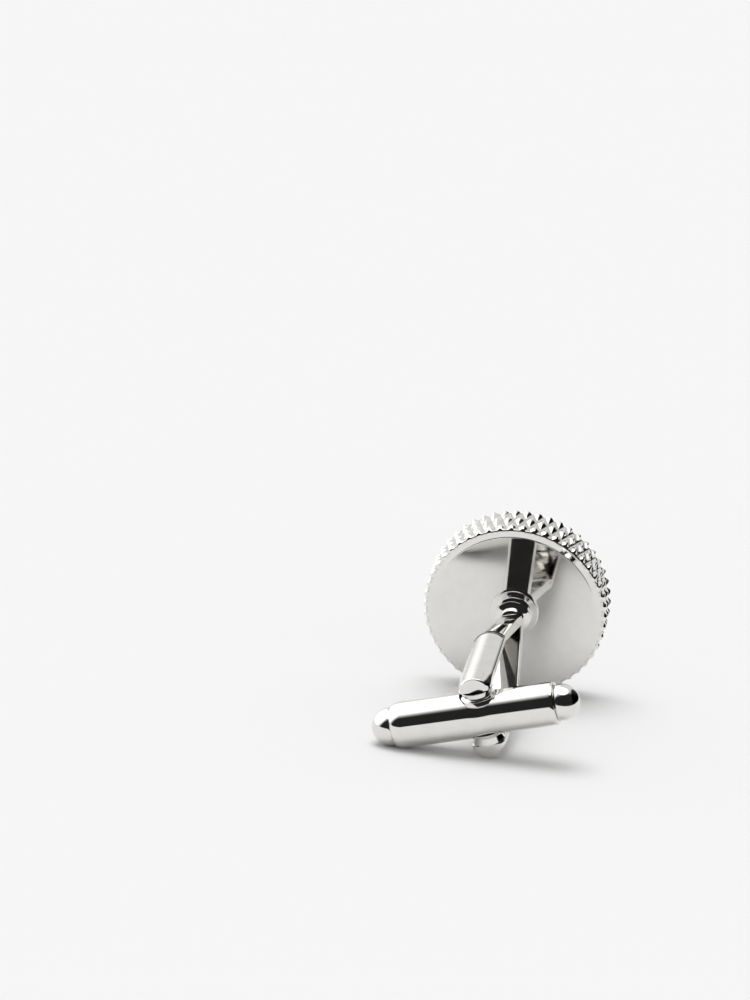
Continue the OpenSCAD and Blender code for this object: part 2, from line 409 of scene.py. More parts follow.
@dataclass(frozen=True)
class DrawnSteel:
    """Plain steel of the spring and the plunger, with marks from the drawing die.

    Attributes:
        name: The material's name.
        colour: The steel's reflectance where it is dull and where it is bright.
        haze: Roughness, least and most.
        marks: Stretch of the die's marks, in the part's own axes.
        relief: How much of a mark's relief shows, and its depth in metres.
    """

    name: str = "drawn_steel"
    colour: tuple[Colour, Colour] = ((0.40, 0.40, 0.41), (0.56, 0.56, 0.57))
    haze: Pair = (0.18, 0.34)
    marks: Point = (700.0, 5200.0, 5200.0)
    relief: Pair = (0.3, 4e-6)

    def material(self) -> Finish:
        """Makes the material.

        Returns:
            The finished material.
        """
        finish, net = new_finish(self.name)
        marks = net.grain(1.0, 3.0, 0.6, self.marks, tuple(Lay().turn().to_euler()))
        net.tint(marks, (0.3, 0.7), self.colour)
        net.roughen(marks, (0.3, 0.7), self.haze)
        net.emboss(marks, *self.relief)
        return finish


@dataclass(frozen=True)
class Patch:
    """One soft patch of the surroundings: a light, or a black flag that keeps light off one side.

    Attributes:
        way: The direction of its middle.
        start: Cosine from that direction where it begins to show.
        full: Cosine where it is at its full strength.
        strength: How bright a light is, or how much light a flag still lets pass.
    """

    way: Point
    start: float
    full: float
    strength: float

    def cast(self, net: ShaderNet, seen: Socket, around: float) -> Socket:
        """Returns the patch's value in the direction seen, where around is the value outside it."""
        way = Vector(self.way).normalized()
        return net.toward(seen, way, (self.start, self.full), (around, self.strength))


@dataclass(frozen=True)
class Studio:
    """A pale sweep under plain soft light, with an unlit room in front and to the right of the object.

    Attributes:
        lens_mm: Focal length.
        film_mm: Long side of the picture that it is for.
        clip: Nearest and farthest that the camera sees.
        place: Where the camera stands.
        right: The camera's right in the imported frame.
        down: The camera's down.
        floor_radius: Reach of the floor.
        paper: The floor's colour.
        paper_end: Where the metal stops mirroring lit paper, towards the room, start and end.
        room_way: The level direction of the unlit room.
        room: How bright the unlit room is.
        backdrop: What the camera sees beyond the floor.
        glows: The patches of light that the metal mirrors.
        flag: The flag on the right.
        key: The soft lamp over the paper, which the metal does not mirror.
        even: The even light round that lamp.
    """

    lens_mm: float = 144.0
    film_mm: float = 36.0
    clip: Pair = (0.01, 20.0)
    place: Point = (-0.0364195574, 0.3453844751, 0.0982752117)
    right: Point = (-0.9855068253, -0.1539903811, 0.0711565865)
    down: Point = (-0.1027770490, 0.2083060125, -0.9726486947)
    floor_radius: float = 3.0
    paper: float = 0.80
    paper_end: Pair = (0.052, 0.064)
    room_way: Point = (-0.342, 0.940, 0.0)
    room: float = 0.025
    backdrop: float = 0.922
    glows: tuple[Patch, ...] = (
        Patch((0.440, -0.573, 0.691), 0.20, 0.56, 1.0),
        Patch((0.837, -0.224, 0.500), 0.60, 0.80, 1.1),
        Patch((0.0, 0.0, 1.0), 0.84, 0.95, 2.6),
    )
    flag: Patch = Patch((-0.874, -0.465, 0.139), 0.731, 0.809, 0.05)
    key: Patch = Patch((0.14, 0.0, 0.99), 0.87, 0.98, 5.3)
    even: float = 0.80

    def camera(self) -> bpy.types.Object:
        """Makes the photograph's camera.

        Returns:
            The camera.
        """
        data = bpy.data.cameras.new("camera")
        data.sensor_fit = "AUTO"
        data.sensor_width = self.film_mm
        data.lens = self.lens_mm
        data.clip_start, data.clip_end = self.clip
        cam = bpy.data.objects.new("camera", data)
        bpy.context.scene.collection.objects.link(cam)
        right, down = Vector(self.right), Vector(self.down)
        axes = Matrix((right, -down, -right.cross(down))).transposed()
        cam.matrix_world = Matrix.Translation(self.place) @ axes.to_4x4()
        bpy.context.scene.camera = cam
        return cam

    def floor(self) -> bpy.types.Object:
        """Makes the pale floor, which the metal mirrors as unlit towards the room.

        Returns:
            The floor.
        """
        bpy.ops.object.select_all(action="DESELECT")
        bpy.ops.mesh.primitive_circle_add(vertices=96, radius=self.floor_radius, fill_type="NGON")
        floor = bpy.context.object
        floor.name = "floor"
        finish, net = new_finish("pale_paper", metal=0.0)
        net.tree.nodes.remove(net.find("BSDF_PRINCIPLED"))
        papers = []
        for grey in (self.paper, self.room):
            shader = net.add("ShaderNodeBsdfDiffuse")
            shader.inputs["Color"].default_value = (grey, grey, grey, 1.0)
            papers.append(shader.outputs["BSDF"])
        place = net.add("ShaderNodeTexCoord").outputs["Object"]
        end = net.toward(place, self.room_way, self.paper_end, (0.0, 1.0))
        mirrored = net.add("ShaderNodeLightPath").outputs["Is Glossy Ray"]
        net.mix(net.maths("MULTIPLY", end, mirrored), *papers, net.find("OUTPUT_MATERIAL"))
        floor.data.materials.append(finish)
        return floor

    def world(self) -> bpy.types.World:
        """Makes the surroundings.

        The metal mirrors the sum of the glows over the unlit room, less what the flag holds back.
        The rest is lit by the key lamp and the even light round it, and the camera sees the backdrop.

        Returns:
            The world.
        """
        world = bpy.data.worlds.new("studio")
        bpy.context.scene.world = world
        world.use_nodes = True
        net = ShaderNet(world.node_tree)
        net.tree.nodes.clear()
        way = net.add("ShaderNodeTexCoord").outputs["Generated"]
        total = self.glows[0].cast(net, way, self.room)
        for glow in self.glows[1:]:
            total = net.maths("ADD", total, glow.cast(net, way, 0.0))
        total = net.maths("MULTIPLY", total, self.flag.cast(net, way, 1.0))
        path = net.add("ShaderNodeLightPath")
        choice = net.add("ShaderNodeMix")
        net.link(path.outputs["Is Glossy Ray"], choice.inputs[0])
        net.link(self.key.cast(net, way, self.even), choice.inputs[2])
        net.link(total, choice.inputs[3])
        lit, seen = net.add("ShaderNodeBackground"), net.add("ShaderNodeBackground")
        net.link(choice.outputs[0], lit.inputs["Strength"])
        seen.inputs["Color"].default_value = (self.backdrop, self.backdrop, self.backdrop, 1.0)
        out = net.add("ShaderNodeOutputWorld")
        shaders = (lit.outputs["Background"], seen.outputs["Background"])
        net.mix(path.outputs["Is Camera Ray"], *shaders, out)
        return world

    def build(self) -> None:
        """Makes the camera, the floor and the light."""
        self.camera()
        self.floor()
        self.world()
        bpy.context.scene.view_settings.view_transform = "Standard"
        log.info("studio set")


def only(piece: Piece) -> None:
    """Selects one piece alone and makes it active.

    Args:
        piece: The piece.
    """
    bpy.ops.object.select_all(action="DESELECT")
    piece.select_set(True)
    bpy.context.view_layer.objects.active = piece


def move(piece: Piece, place: Matrix) -> Piece:
    """Moves a piece, with the move in its mesh.

    Args:
        piece: The piece.
        place: The move.

    Returns:
        The piece.
    """
    only(piece)
    piece.matrix_world = place
    bpy.ops.object.transform_apply(location=True, rotation=True, scale=True)
    return piece


def quarter(axis: str, way: float = 1.0) -> Matrix:
    """Returns a quarter turn round an axis, the other way round where way is -1."""
    return Matrix.Rotation(way * math.pi / 2, 4, axis)


def ease(share: float) -> float:
    """Returns a share held between 0 and 1 and eased at both."""
    held = min(1.0, max(0.0, share))
    return held * held * (3.0 - 2.0 * held)


def turn_up(name: str, profile: Outline, sides: int, pole: bool = False) -> Piece:
    """Turns a solid, one ring after another, up from its first face.

    Args:
        name: The piece's name.
        profile: Radius and height of each ring.
        sides: Points on a ring.
        pole: Whether the last ring closes to a point.

    Returns:
        The piece, on its own axes, with its turning axis along z.
    """
    bpy.ops.object.select_all(action="DESELECT")
    radius, height = profile[0]
    bpy.ops.mesh.primitive_circle_add(vertices=sides, radius=radius, fill_type="NGON", enter_editmode=True)
    piece = bpy.context.object
    piece.name = piece.data.name = name
    bpy.ops.mesh.select_all(action="SELECT")
    bpy.ops.transform.translate(value=(0.0, 0.0, height))
    for r, z in profile[1:]:
        bpy.ops.mesh.extrude_region_move(TRANSFORM_OT_translate={"value": (0.0, 0.0, z - height)})
        bpy.ops.transform.resize(value=(r / radius, r / radius, 1.0), center_override=(0.0, 0.0, z))
        radius, height = r, z
    if pole:
        bpy.ops.mesh.merge(type="COLLAPSE")
    bpy.ops.mesh.select_all(action="SELECT")
    bpy.ops.mesh.normals_make_consistent(inside=False)
    bpy.ops.object.mode_set(mode="OBJECT")
    return piece


def arc(cx: float, cz: float, rx: float, rz: float, start: float, end: float, steps: int) -> Outline:
    """Returns points on a piece of an ellipse.

    Args:
        cx: Its middle, across.
        cz: Its middle, along.
        rx: Its half-width across.
        rz: Its half-width along.
        start: The first angle in degrees, from across towards along.
        end: The last angle.
        steps: How many steps lie between them.

    Returns:
        The points, the first and last included.
    """
    turns = [math.radians(start + (end - start) * i / steps) for i in range(steps + 1)]
    return [(cx + rx * math.cos(t), cz + rz * math.sin(t)) for t in turns]


def fillet(corner: Pair, before: Pair, after: Pair, radius: float, steps: int) -> Outline:
    """Rounds one corner of an outline.

    Args:
        corner: The sharp corner.
        before: A point on the side that comes in.
        after: A point on the side that goes out.
        radius: The rounding.
        steps: How many steps the rounding takes.

    Returns:
        The points of the rounding, from the side that comes in to the side that goes out.
    """
    c, p, q = Vector(corner), Vector(before), Vector(after)
    one, two = (p - c).normalized(), (q - c).normalized()
    half = math.acos(max(-1.0, min(1.0, one.dot(two)))) / 2
    reach = radius / math.tan(half)
    first, last = c + one * reach, c + two * reach
    middle = c + (one + two).normalized() * (radius / math.sin(half))
    ways = [(first - middle).lerp(last - middle, i / steps).normalized() for i in range(steps + 1)]
    return [tuple(middle + way * radius) for way in ways]


def loft(name: str, rings: list[list[Point]]) -> Piece:
    """Rolls a sheet into a closed solid that passes through a row of outlines.

    Args:
        name: The piece's name.
        rings: The outlines, each with the same number of points.

    Returns:
        The piece.
    """
    bpy.ops.object.select_all(action="DESELECT")
    across, along = len(rings[0]), len(rings) - 1
    bpy.ops.mesh.primitive_grid_add(x_subdivisions=across, y_subdivisions=along, size=1.0)
    piece = bpy.context.object
    piece.name = piece.data.name = name
    places = [p for ring in rings for p in (*ring, ring[0])]
    for point, place in zip(piece.data.vertices, places, strict=True):
        point.co = place
    bpy.ops.object.mode_set(mode="EDIT")
    bpy.ops.mesh.select_all(action="SELECT")
    bpy.ops.mesh.remove_doubles(threshold=1e-7)
    bpy.ops.mesh.select_all(action="DESELECT")
    bpy.ops.mesh.select_mode(type="EDGE")
    bpy.ops.mesh.select_non_manifold()
    bpy.ops.mesh.fill_holes(sides=0)
    bpy.ops.mesh.select_all(action="SELECT")
    bpy.ops.mesh.normals_make_consistent(inside=False)
    bpy.ops.mesh.select_mode(type="VERT")
    bpy.ops.object.mode_set(mode="OBJECT")
    return piece


def cut(piece: Piece, tool: Piece, kind: Cut) -> None:
    """Joins a solid to a piece, takes it away, or keeps what both share.

    Args:
        piece: The piece that changes.
        tool: The solid that acts on it, and is gone afterwards.
        kind: What it does.
    """
    only(piece)
    step = piece.modifiers.new("cut", "BOOLEAN")
    step.operation, step.object, step.solver = kind.value, tool, "EXACT"
    bpy.ops.object.modifier_apply(modifier=step.name)
    bpy.data.objects.remove(tool, do_unlink=True)


def coat(piece: Piece, *finishes: Finish) -> None:
    """Puts finishes on a piece.

    Args:
        piece: The piece.
        *finishes: Its finishes, of which the first is on every face.
    """
    piece.data.materials.clear()
    for finish in finishes:
        piece.data.materials.append(finish)


def finish_piece(piece: Piece, place: Matrix, smooth: float, body: Body, slot: Slot, *nodes: str) -> None:
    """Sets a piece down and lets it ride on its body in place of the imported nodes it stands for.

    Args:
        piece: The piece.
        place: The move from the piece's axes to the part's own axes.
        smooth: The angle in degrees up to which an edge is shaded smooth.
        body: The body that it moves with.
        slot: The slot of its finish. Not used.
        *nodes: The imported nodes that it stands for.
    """
    move(piece, Lay().matrix() @ place)
    bpy.ops.object.shade_smooth_by_angle(angle=math.radians(smooth))
    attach(piece, body.value)
    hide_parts(*nodes)
    log.info("made %s: %d faces", piece.name, len(piece.data.polygons))


@dataclass(frozen=True)
class HalfRound:
    """The section of an arm or leg: flat inside, crowned outside, with its edges rolled over.

    Attributes:
        half: Half its width.
        thick: Thickness over the crown.
        crown: Radius of the crown.
        inner: Rounding between the flat and a side.
        outer: Rounding between a side and the crown.
        slope: How far inside the crown's edge its slope is taken for the rounding, in radians.
        clear: How far inside its edge the crown's own points start, in radians.
        steps: Steps from an end of the crown to its top.
    """

    half: float
    thick: float
    crown: float
    inner: float = 0.00005
    outer: float = 0.00012
    slope: float = 0.06
    clear: float = 0.1
    steps: int = 12

    def on_crown(self, turn: float) -> Pair:
        """Returns the point of the crown at an angle from its top, in radians."""
        return self.crown * math.sin(turn), self.thick - self.crown * (1 - math.cos(turn))

    def points(self) -> Outline:
        """Draws the outline, always with the same number of points.

        Returns:
            The points, across and out from the flat.
        """
        side = self.thick - self.crown + math.sqrt(self.crown**2 - self.half**2)
        edge = math.asin(self.half / self.crown)
        corner = (self.half, side)
        right = fillet((self.half, 0.0), (0.0, 0.0), corner, self.inner, 4)
        right += fillet(corner, (self.half, 0.0), self.on_crown(edge - self.slope), self.outer, 5)
        top = edge - self.clear
        crown = [self.on_crown(top * (1 - i / self.steps)) for i in range(2 * self.steps + 1)]
        left = [(-x, y) for x, y in reversed(right)]
        flat = [(self.half * i / 5, 0.0) for i in range(-4, 5)]
        return right + crown + left + flat


@dataclass(frozen=True)
class KnurledHead:
    """The round head: a turned blank with a diamond knurl rolled round its edge.

    Attributes:
        radius: Over the points of the knurl.
        thickness: From the brushed front to the back.
        diamonds: How many stand round the edge.
        depth: Depth of the grooves.
        row: Spacing of the rows of diamonds.
        crest: A diamond's blunt top and the start of the groove's floor, as shares of half the spacing.
        blend: How softly the two sets of grooves meet on a diamond.
        soft: How softly the knurl runs out into the rounded edges.
        runout: Radius inside which the knurl leaves the blank as it is.
        edge: Radius of the rounded back edge.
        ledge: Width and height of the ledge inside it.
        step: Width and height of the step from the ledge up to the back.
        bend: Heights left below the back where the step bends, as shares of its height.
        front_edge: Radius of the front edge.
        inset: From the front edge to the ring that keeps the front's shading flat.
        guard: From an edge of the ledge to the rings that keep its shading crisp.
        sides: Points round a diamond.
        rows: Steps along the knurl.
    """

    radius: float = 0.0085
    thickness: float = 0.0039
    diamonds: int = 50
    depth: float = 0.00030
    row: float = 0.0016
    crest: Pair = (0.10, 0.90)
    blend: float = 0.20
    soft: float = 0.00004
    runout: float = 0.0078
    edge: float = 0.0005
    ledge: Pair = (0.00046, 0.00008)
    step: Pair = (0.00004, 0.00003)
    bend: Pair = (0.6, 0.08)
    front_edge: float = 0.00006
    inset: float = 0.0001
    guard: tuple[float, float, float, float] = (0.00001, 0.00002, 0.00003, 0.00006)
    sides: int = 16
    rows: int = 34

    def profile(self) -> Outline:
        """Draws the blank.

        Returns:
            Radius and height of its rings, from the front face to the back.
        """
        width, height = self.ledge
        hair, near, middle, far = self.guard
        outer, inner = self.radius - self.edge, self.radius - self.edge - width
        flat, shelf = inner - self.step[0], -height - self.step[1]
        top, low = shelf - self.edge, -self.thickness + self.front_edge
        rings = [(self.radius - self.depth - self.front_edge - self.inset, -self.thickness)]
        rings += arc(self.radius - self.front_edge, low, self.front_edge, self.front_edge, -90.0, 0.0, 3)
        rings += [(self.radius, low + (top - low) * i / self.rows) for i in range(1, self.rows)]
        rings += arc(outer, top, self.edge, self.edge, 0.0, 90.0, 10)
        ledge = (near, far, width / 2, width - middle, width)
        rings += [(outer - t, shelf + t * height / width) for t in ledge]
        rings += [(inner - hair, -self.step[1] * self.bend[0]), (flat + hair, -self.step[1] * self.bend[1])]
        return rings + [(flat, 0.0), (flat - far, 0.0)]

    def groove(self, turn: float) -> float:
        """Returns how high the metal stands, from 0 in a groove to 1 between two, where one set passes."""
        away = 2.0 * abs(turn - round(turn))
        return 1.0 - ease((away - self.crest[0]) / (self.crest[1] - self.crest[0]))

    def height(self, angle: float, z: float) -> float:
        """Returns the knurl's height, 0 to 1.

        Args:
            angle: The angle round the head, in radians.
            z: The place along the head's axis, from 0 at the back down to the front.

        Returns:
            The height.
        """
        u = angle * self.diamonds / (2.0 * math.pi)
        v = (z + self.thickness) / (2.0 * self.row)
        a, b = self.groove(u + v), self.groove(u - v)
        return 0.5 * (a + b - math.hypot(a - b, self.blend)) + 0.5 * self.blend

    def roll(self, head: Piece) -> None:
        """Rolls the knurl into the blank, and notes on each point how high the metal stands there.

        Args:
            head: The turned blank.
        """
        stands = []
        for point in head.data.vertices:
            x, y, z = point.co
            r = math.hypot(x, y)
            stand = self.height(math.atan2(y, x), z)
            rolled = self.radius - self.depth * (1.0 - stand)
            new = r
            if r > self.runout:
                new = min(r, 0.5 * (r + rolled - math.hypot(r - rolled, self.soft)))
            if z < -self.thickness + CLOSE:
                new = min(new, rolled - self.front_edge)
            point.co = (x * new / r, y * new / r, z)
            stands.append(stand)
        head.data.attributes.new("stand", "FLOAT", "POINT").data.foreach_set("value", stands)

    def build(self, front: Finish, sides: Finish, back: Finish) -> Piece:
        """Makes the head.

        Args:
            front: The brushed finish of its front face.
            sides: The finish of its knurled edge.
            back: The finish of its back.

        Returns:
            The piece.
        """
        head = turn_up("head", self.profile(), self.diamonds * self.sides)
        self.roll(head)
        coat(head, sides, front, back)
        inner, shelf = self.radius - self.edge, -2.0 * (self.ledge[1] + self.step[1])
        for face in head.data.polygons:
            x, y, z = face.center
            if z < -self.thickness + CLOSE:
                face.material_index = 1
            elif z > shelf and math.hypot(x, y) < inner:
                face.material_index = 2
        finish_piece(head, Matrix(), 50.0, Body.HEAD, Slot.HEAD, "knurled_disc")
        return head


@dataclass(frozen=True)
class Foot:
    """The post's foot: a flat flange on the back of the head and a domed collar on it.

    Attributes:
        flange: Radius and thickness of the flange.
        eased: Rounding of the flange's edge.
        root: Rounding between the flange and the collar.
        collar: Radius of the collar and height of its straight wall over the head.
        edge: Rounding between the wall and the dome.
        dome: Radius of the low dome on the collar.
        dome_end: Where the dome ends, in degrees from level.
        flat: Radius of the plain face at the top, inside the hole.
        tang: Radius of the hole for the fork's tang.
    """

    flange: Pair = (0.00225, 0.00034)
    eased: float = 0.00009
    root: float = 0.00006
    collar: Pair = (0.00165, 0.00118)
    edge: float = 0.00005
    dome: float = 0.0026
    dome_end: float = 77.0
    flat: float = 0.00045
    tang: float = 0.00081

    def build(self, finish: Finish) -> Piece:
        """Makes the foot.

        Args:
            finish: The plating.

        Returns:
            The foot.
        """
        (r, h), (wide, high) = self.flange, self.collar
        rings = [(r, 0.0)] + arc(r - self.eased, h - self.eased, self.eased, self.eased, 0.0, 90.0, 6)
        rings += arc(wide + self.root, h + self.root, -self.root, -self.root, 90.0, 0.0, 4)
        rings += [(wide, h + (high - h) * i / 5) for i in range(1, 5)]
        lean = math.asin((wide - self.edge) / self.dome)
        start = 90.0 - math.degrees(lean)
        rings += arc(wide - self.edge, high, self.edge, self.edge, 0.0, start, 4)
        low = high + (self.edge - self.dome) * math.cos(lean)
        rings += arc(0.0, low, self.dome, self.dome, start + 1.5, self.dome_end, 14)
        rings += [(self.flat, rings[-1][1])]
        foot = turn_up("foot", rings, 128)
        hole = turn_up("hole", [(self.tang, -OVER), (self.tang, rings[-1][1] + OVER)], 64)
        cut(foot, hole, Cut.TAKE)
        coat(foot, finish)
        finish_piece(foot, Matrix(), 40.0, Body.HEAD, Slot.POLISHED, "post_foot")
        return foot


@dataclass(frozen=True)
class Fork:
    """The forked yoke: a neck that splits into two legs, and an arm with a rounded tip on each.

    Places along the post are measured from the back of the head.

    Attributes:
        gap: Half the gap between the arms' flats.
        half: Half an arm's width.
        crown: Radius of an arm's crown.
        thick: An arm's thickness at the shoulder and at the tip.
        arm: Where an arm starts and ends.
        tip: Rounding of the tip seen along the bar.
        square: How square the tip is, seen along the pin: 2 is round.
        nose: How much of the squared shape the tip uses before it is cut off flat.
        swell: Where the crown begins to swell, and its height at the tip as a share of the half-width.
        side: The least straight side that the swell leaves under the crown.
        shoulder: Rounding of the shoulder.
        waist: How much the rounding of the shoulder narrows it, as a share of the rounding.
        leg_thick: A leg's thickness over its crown.
        leg_crown: Radius of a leg's crown.
        leg_half: Half a leg's width at the root and at the knee.
        leg_root: How far a leg reaches back into the neck.
        crotch: Bottom of the crotch.
        knee: Where the legs reach the full gap.
        neck: Radius of the neck, and where it starts on the foot.
        neck_end: Where the neck begins to round off between the legs, and the height of that rounding.
        tang: Radius of the tang in the foot.
        pin: Radius of the pin's hole, and radius and depth of the seat for the pin's head.
        shank: Radius of the pin's shank.
        fit: Play between a head of the pin and its seat.
        root: How far the shank reaches into a head of the pin.
        smooth: The angle in degrees up to which an edge is shaded smooth.
    """

    gap: float = 0.0026
    half: float = 0.00145
    crown: float = 0.001777
    thick: Pair = (0.0011, 0.0013)
    arm: Pair = (0.0113, 0.0215)
    tip: float = 0.0001
    square: float = 5.0
    nose: float = 0.985
    swell: Pair = (0.0195, 0.72)
    side: float = 0.00016
    shoulder: float = 0.00025
    waist: float = 0.4
    leg_thick: float = 0.0012
    leg_crown: float = 0.001852
    leg_half: Pair = (0.0011, 0.00135)
    leg_root: float = 0.0009
    crotch: float = 0.0032
    knee: float = 0.0122
    neck: Pair = (0.00115, 0.0012)
    neck_end: Pair = (0.0021, 0.0013)
    tang: float = 0.0008
    pin: tuple[float, float, float] = (0.00063, 0.00091, 0.0005)
    shank: float = 0.00062
    fit: float = 0.00001
    root: float = 0.00005
    smooth: float = 28.0

    def section(self, z: float, drop: float) -> HalfRound:
        """Returns an arm's section.

        Args:
            z: Where it is along the post.
            drop: How much lower a rounding makes it.

        Returns:
            The section.
        """
        end, low = self.arm[1], self.arm[0] + self.shoulder
        share = (z - low) / (end - self.tip - low)
        thick = self.thick[0] + (self.thick[1] - self.thick[0]) * share - drop
        past = max(0.0, (z - POST) / (end - POST)) * self.nose
        half = self.half * (1.0 - past**self.square) ** (1.0 / self.square)
        if drop > 0.0 and z < low:
            half = self.half - self.waist * drop
        rise = self.crown - math.sqrt(self.crown**2 - half**2)
        full = max(rise, min(thick - self.side, self.swell[1] * half))
        rise += ease((z - self.swell[0]) / (end - self.swell[0])) * (full - rise)
        return HalfRound(half, thick, (half**2 + rise**2) / (2.0 * rise))

    def make_arm(self, name: str, sign: float) -> Piece:
        """Makes one arm.

        Args:
            name: Its name.
            sign: 1 for the upper arm and -1 for the lower.

        Returns:
            The arm, a closed solid.
        """
        low, high, steps = self.arm[0] + self.shoulder, self.arm[1] - self.tip, 36
        stops = arc(low, self.shoulder, -self.shoulder, -self.shoulder, 0.0, 90.0, 6)
        stops += [(low + (high - low) * i / steps, 0.0) for i in range(1, steps)]
        stops += arc(high, self.tip, self.tip, -self.tip, 90.0, 0.0, 6)
        rings = []
        for z, drop in stops:
            outline = self.section(z, drop).points()
            rings.append([(x, sign * (self.gap + y), z) for x, y in outline])
        return loft(name, rings)

    def make_leg(self, name: str, sign: float) -> Piece:
        """Makes one leg.

        Args:
            name: Its name.
            sign: 1 for the upper leg and -1 for the lower.

        Returns:
            The leg, a closed solid.
        """
        lean = math.atan2(self.gap, self.knee - self.crotch)
        up, out = math.cos(lean), math.sin(lean)
        length, steps = (self.knee - self.crotch) / up, 24
        rings = []
        for i in range(steps + 1):
            s = -self.leg_root + (length + self.leg_root) * i / steps
            share = min(1.0, max(0.0, s / length))
            half = self.leg_half[0] + (self.leg_half[1] - self.leg_half[0]) * share
            outline = HalfRound(half, self.leg_thick, self.leg_crown).points()
            ring = [(x, sign * (s * out + y * up), self.crotch + s * up - y * out) for x, y in outline]
            rings.append(ring)
        return loft(name, rings)

    def turn_on_pin(self, name: str, profile: Outline) -> Piece:
        """Turns a solid round the pin's axis, from its lower half's rings, and returns it."""
        rings = profile + [(r, -z) for r, z in reversed(profile)]
        return move(turn_up(name, rings, 96), Matrix.Translation((0.0, 0.0, POST)) @ quarter("X"))

    def build(self, finish: Finish) -> None:
        """Makes the fork and the pin that is riveted in it.

        Args:
            finish: The plating.
        """
        fork, pin = self.make_arm("fork_arms", 1.0), self.make_arm("pin", 1.0)
        cut(fork, self.make_arm("lower_arm", -1.0), Cut.JOIN)
        cut(pin, self.make_arm("pin_below", -1.0), Cut.JOIN)
        for name, sign in (("upper_leg", 1.0), ("lower_leg", -1.0)):
            cut(fork, self.make_leg(name, sign), Cut.JOIN)
        (wide, start), (high, rise) = self.neck, self.neck_end
        rings = [(self.tang, 0.0), (self.tang, start), (wide, start), (wide, high)]
        neck = turn_up("neck", rings + arc(0.0, high, wide, rise, 8.0, 80.0, 12), 96)
        cut(fork, neck, Cut.JOIN)
        hole, seat, depth = self.pin
        out = self.gap + self.thick[1]
        low = depth - out
        rings = [(seat, -out - OVER), (seat, low), (hole, low)]
        cut(fork, self.turn_on_pin("bore", rings), Cut.TAKE)
        coat(fork, finish)
        finish_piece(fork, Matrix(), self.smooth, Body.HEAD, Slot.POLISHED, "fork")
        seat, core = seat - self.fit, self.shank - 2.0 * self.fit
        rings = [(seat, -out - OVER), (seat, low), (core, low)]
        cut(pin, self.turn_on_pin("seats", rings), Cut.SHARE)
        rings = [(self.shank, low - self.root)]
        cut(pin, self.turn_on_pin("shank", rings), Cut.JOIN)
        coat(pin, finish)
        finish_piece(pin, Matrix(), self.smooth, Body.HEAD, Slot.POLISHED, "hinge_pin")


@dataclass(frozen=True)
class Barrel:
    """The bar's two halves in one, with a flat and a round seat for a hub on two sides.

    Places along the bar are measured from the pin.

    Attributes:
        long: Length and radius of the long half.
        short: Length and radius of the short half.
        change: Half the length over which one radius goes over into the other.
        rings: Places of the plain rings on each half.
        ends: How the ends taper: across and along, for the long half and then for the short.
        taper_end: Where a taper ends, in degrees, before the narrow rim inside it.
        rim: Width of that rim.
        flat: Depth of a flat, and where it runs out.
        seat: Radius of a hub's seat and its distance from the bar's axis.
        bore: Radius of the bore for the detent and the caps, where it ends beside the pin, and its
            depth in the short half.
        pin: Radius of the hole for the pin.
    """

    long: Pair = (0.008, 0.00205)
    short: Pair = (0.0067, 0.00193)
    change: float = 0.001
    rings: tuple[float, float, float] = (0.0015, 0.003, 0.005)
    ends: tuple[float, float, float, float] = (0.0003, 0.001, 0.0002, 0.0004)
    taper_end: float = 84.0
    rim: float = 0.00006
    flat: Pair = (0.00014, 0.0053)
    seat: Pair = (0.00166, 0.00145)
    bore: tuple[float, float, float] = (0.00125, 0.00031, 0.001)
    pin: float = 0.00065

    def profile(self) -> Outline:
        """Draws the barrel.

        Returns:
            Radius and place of its rings, from the long end to the short.
        """
        (length, r), (reach, s) = self.long, self.short
        lr, lx, sr, sx = self.ends
        rings = arc(r - lr, -length + lx, lr, lx, -self.taper_end, 0.0, 14)
        rings = [(rings[0][0] - self.rim, -length)] + rings
        rings += [(r, -x) for x in reversed(self.rings)]
        for i in range(13):
            share = 0.5 - 0.5 * math.cos(math.pi * i / 12)
            rings.append((r + (s - r) * share, self.change * (i / 6 - 1)))
        rings += [(s, x) for x in self.rings]
        rings += arc(s - sr, reach - sx, sr, sx, 0.0, self.taper_end, 12)
        return rings + [(rings[-1][0] - self.rim, reach)]

    def drill(self, barrel: Piece, radius: float, reach: Pair, turn: Matrix, sides: int = 64) -> None:
        """Drills one round hole into the barrel, over its reach along an axis that is turned from upright."""
        hole = turn_up("drill", [(radius, z) for z in reach], sides)
        cut(barrel, move(hole, turn), Cut.TAKE)

    def build(self, finish: Finish) -> Piece:
        """Makes the barrel.

        Args:
            finish: The plating.

        Returns:
            The barrel.
        """
        (length, r), (reach, s) = self.long, self.short
        barrel = move(turn_up("barrel", self.profile(), 160), quarter("Y"))
        (sink, end), (seat, base), far = self.flat, self.seat, r + OVER
        for way in (1.0, -1.0):
            side = ((0.0, s - sink), (end, s), (end, far), (0.0, far))
            wedge = loft("wedge", [[(x, way * y, z) for x, y in side] for z in (-far, far)])
            cut(barrel, wedge, Cut.TAKE)
            self.drill(barrel, seat, (base, far), quarter("X", -way), 128)
        bore, stop, depth = self.bore
        self.drill(barrel, bore, (-length - OVER, -stop), quarter("Y"))
        self.drill(barrel, bore, (reach - depth, reach + OVER), quarter("Y"))
        self.drill(barrel, self.pin, (-far, far), quarter("X"))
        coat(barrel, finish)
        place = Matrix.Translation((0.0, 0.0, POST))
        finish_piece(barrel, place, 18.0, Body.BAR, Slot.POLISHED, "toggle_barrel")
        return barrel


